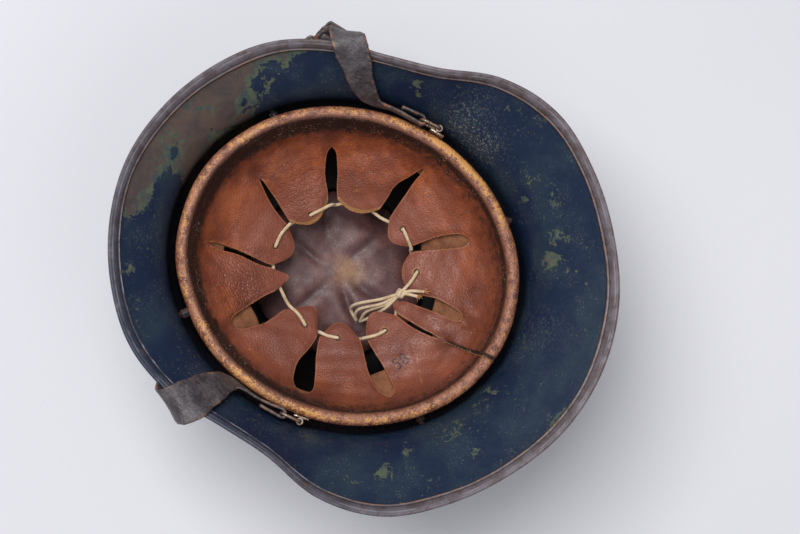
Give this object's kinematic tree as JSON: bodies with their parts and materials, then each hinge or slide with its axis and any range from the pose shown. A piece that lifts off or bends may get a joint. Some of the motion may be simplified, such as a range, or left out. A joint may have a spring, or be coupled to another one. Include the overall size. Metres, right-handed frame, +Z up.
{
  "type": "air raid helmet",
  "caption": "Steel helmet with a narrow visor, wide neck guard and inturned hem, a tongued leather liner on a band, crown pad, drawstring and buckled chin strap, lying upside down.",
  "frame": {"origin": "under the middle of the helmet's bounding box, at the lowest point of the crown, on which it lies", "axes": "+Z up, out of the opening; -Y towards the visor, +Y towards the neck guard; +X towards the wearer's right"},
  "size_m": [0.2674, 0.304, 0.1631],
  "materials": {
    "shell_paint": "worn dark blue paint with olive and brown patches, satin",
    "pin_steel": "painted, satin",
    "band_leather": "tan, matt",
    "liner_leather": "red brown, grained, worn",
    "pad_leather": "dark brown, glossy",
    "cord_cotton": "braided cotton, matt",
    "strap_leather": "dark, cracked, rusty at the edges",
    "strap_steel": "bare steel, spotted with rust"
  },
  "bodies": {
    "root": {"steel_shell": "shell_paint", "liner_pin_1": "pin_steel", "liner_pin_2": "pin_steel", "liner_pin_3": "pin_steel", "liner_pin_4": "pin_steel", "liner_band": "band_leather", "liner_ring": "liner_leather", "liner_leather": "liner_leather", "crown_pad": "pad_leather", "drawstring": "cord_cotton", "chin_strap_long": "strap_leather", "chin_strap_short": "strap_leather", "strap_buckle": "strap_steel", "strap_bale_left": "strap_steel", "strap_bale_right": "strap_steel", "strap_anchor_left": "strap_steel", "strap_anchor_right": "strap_steel"}
  },
  "joints": []
}
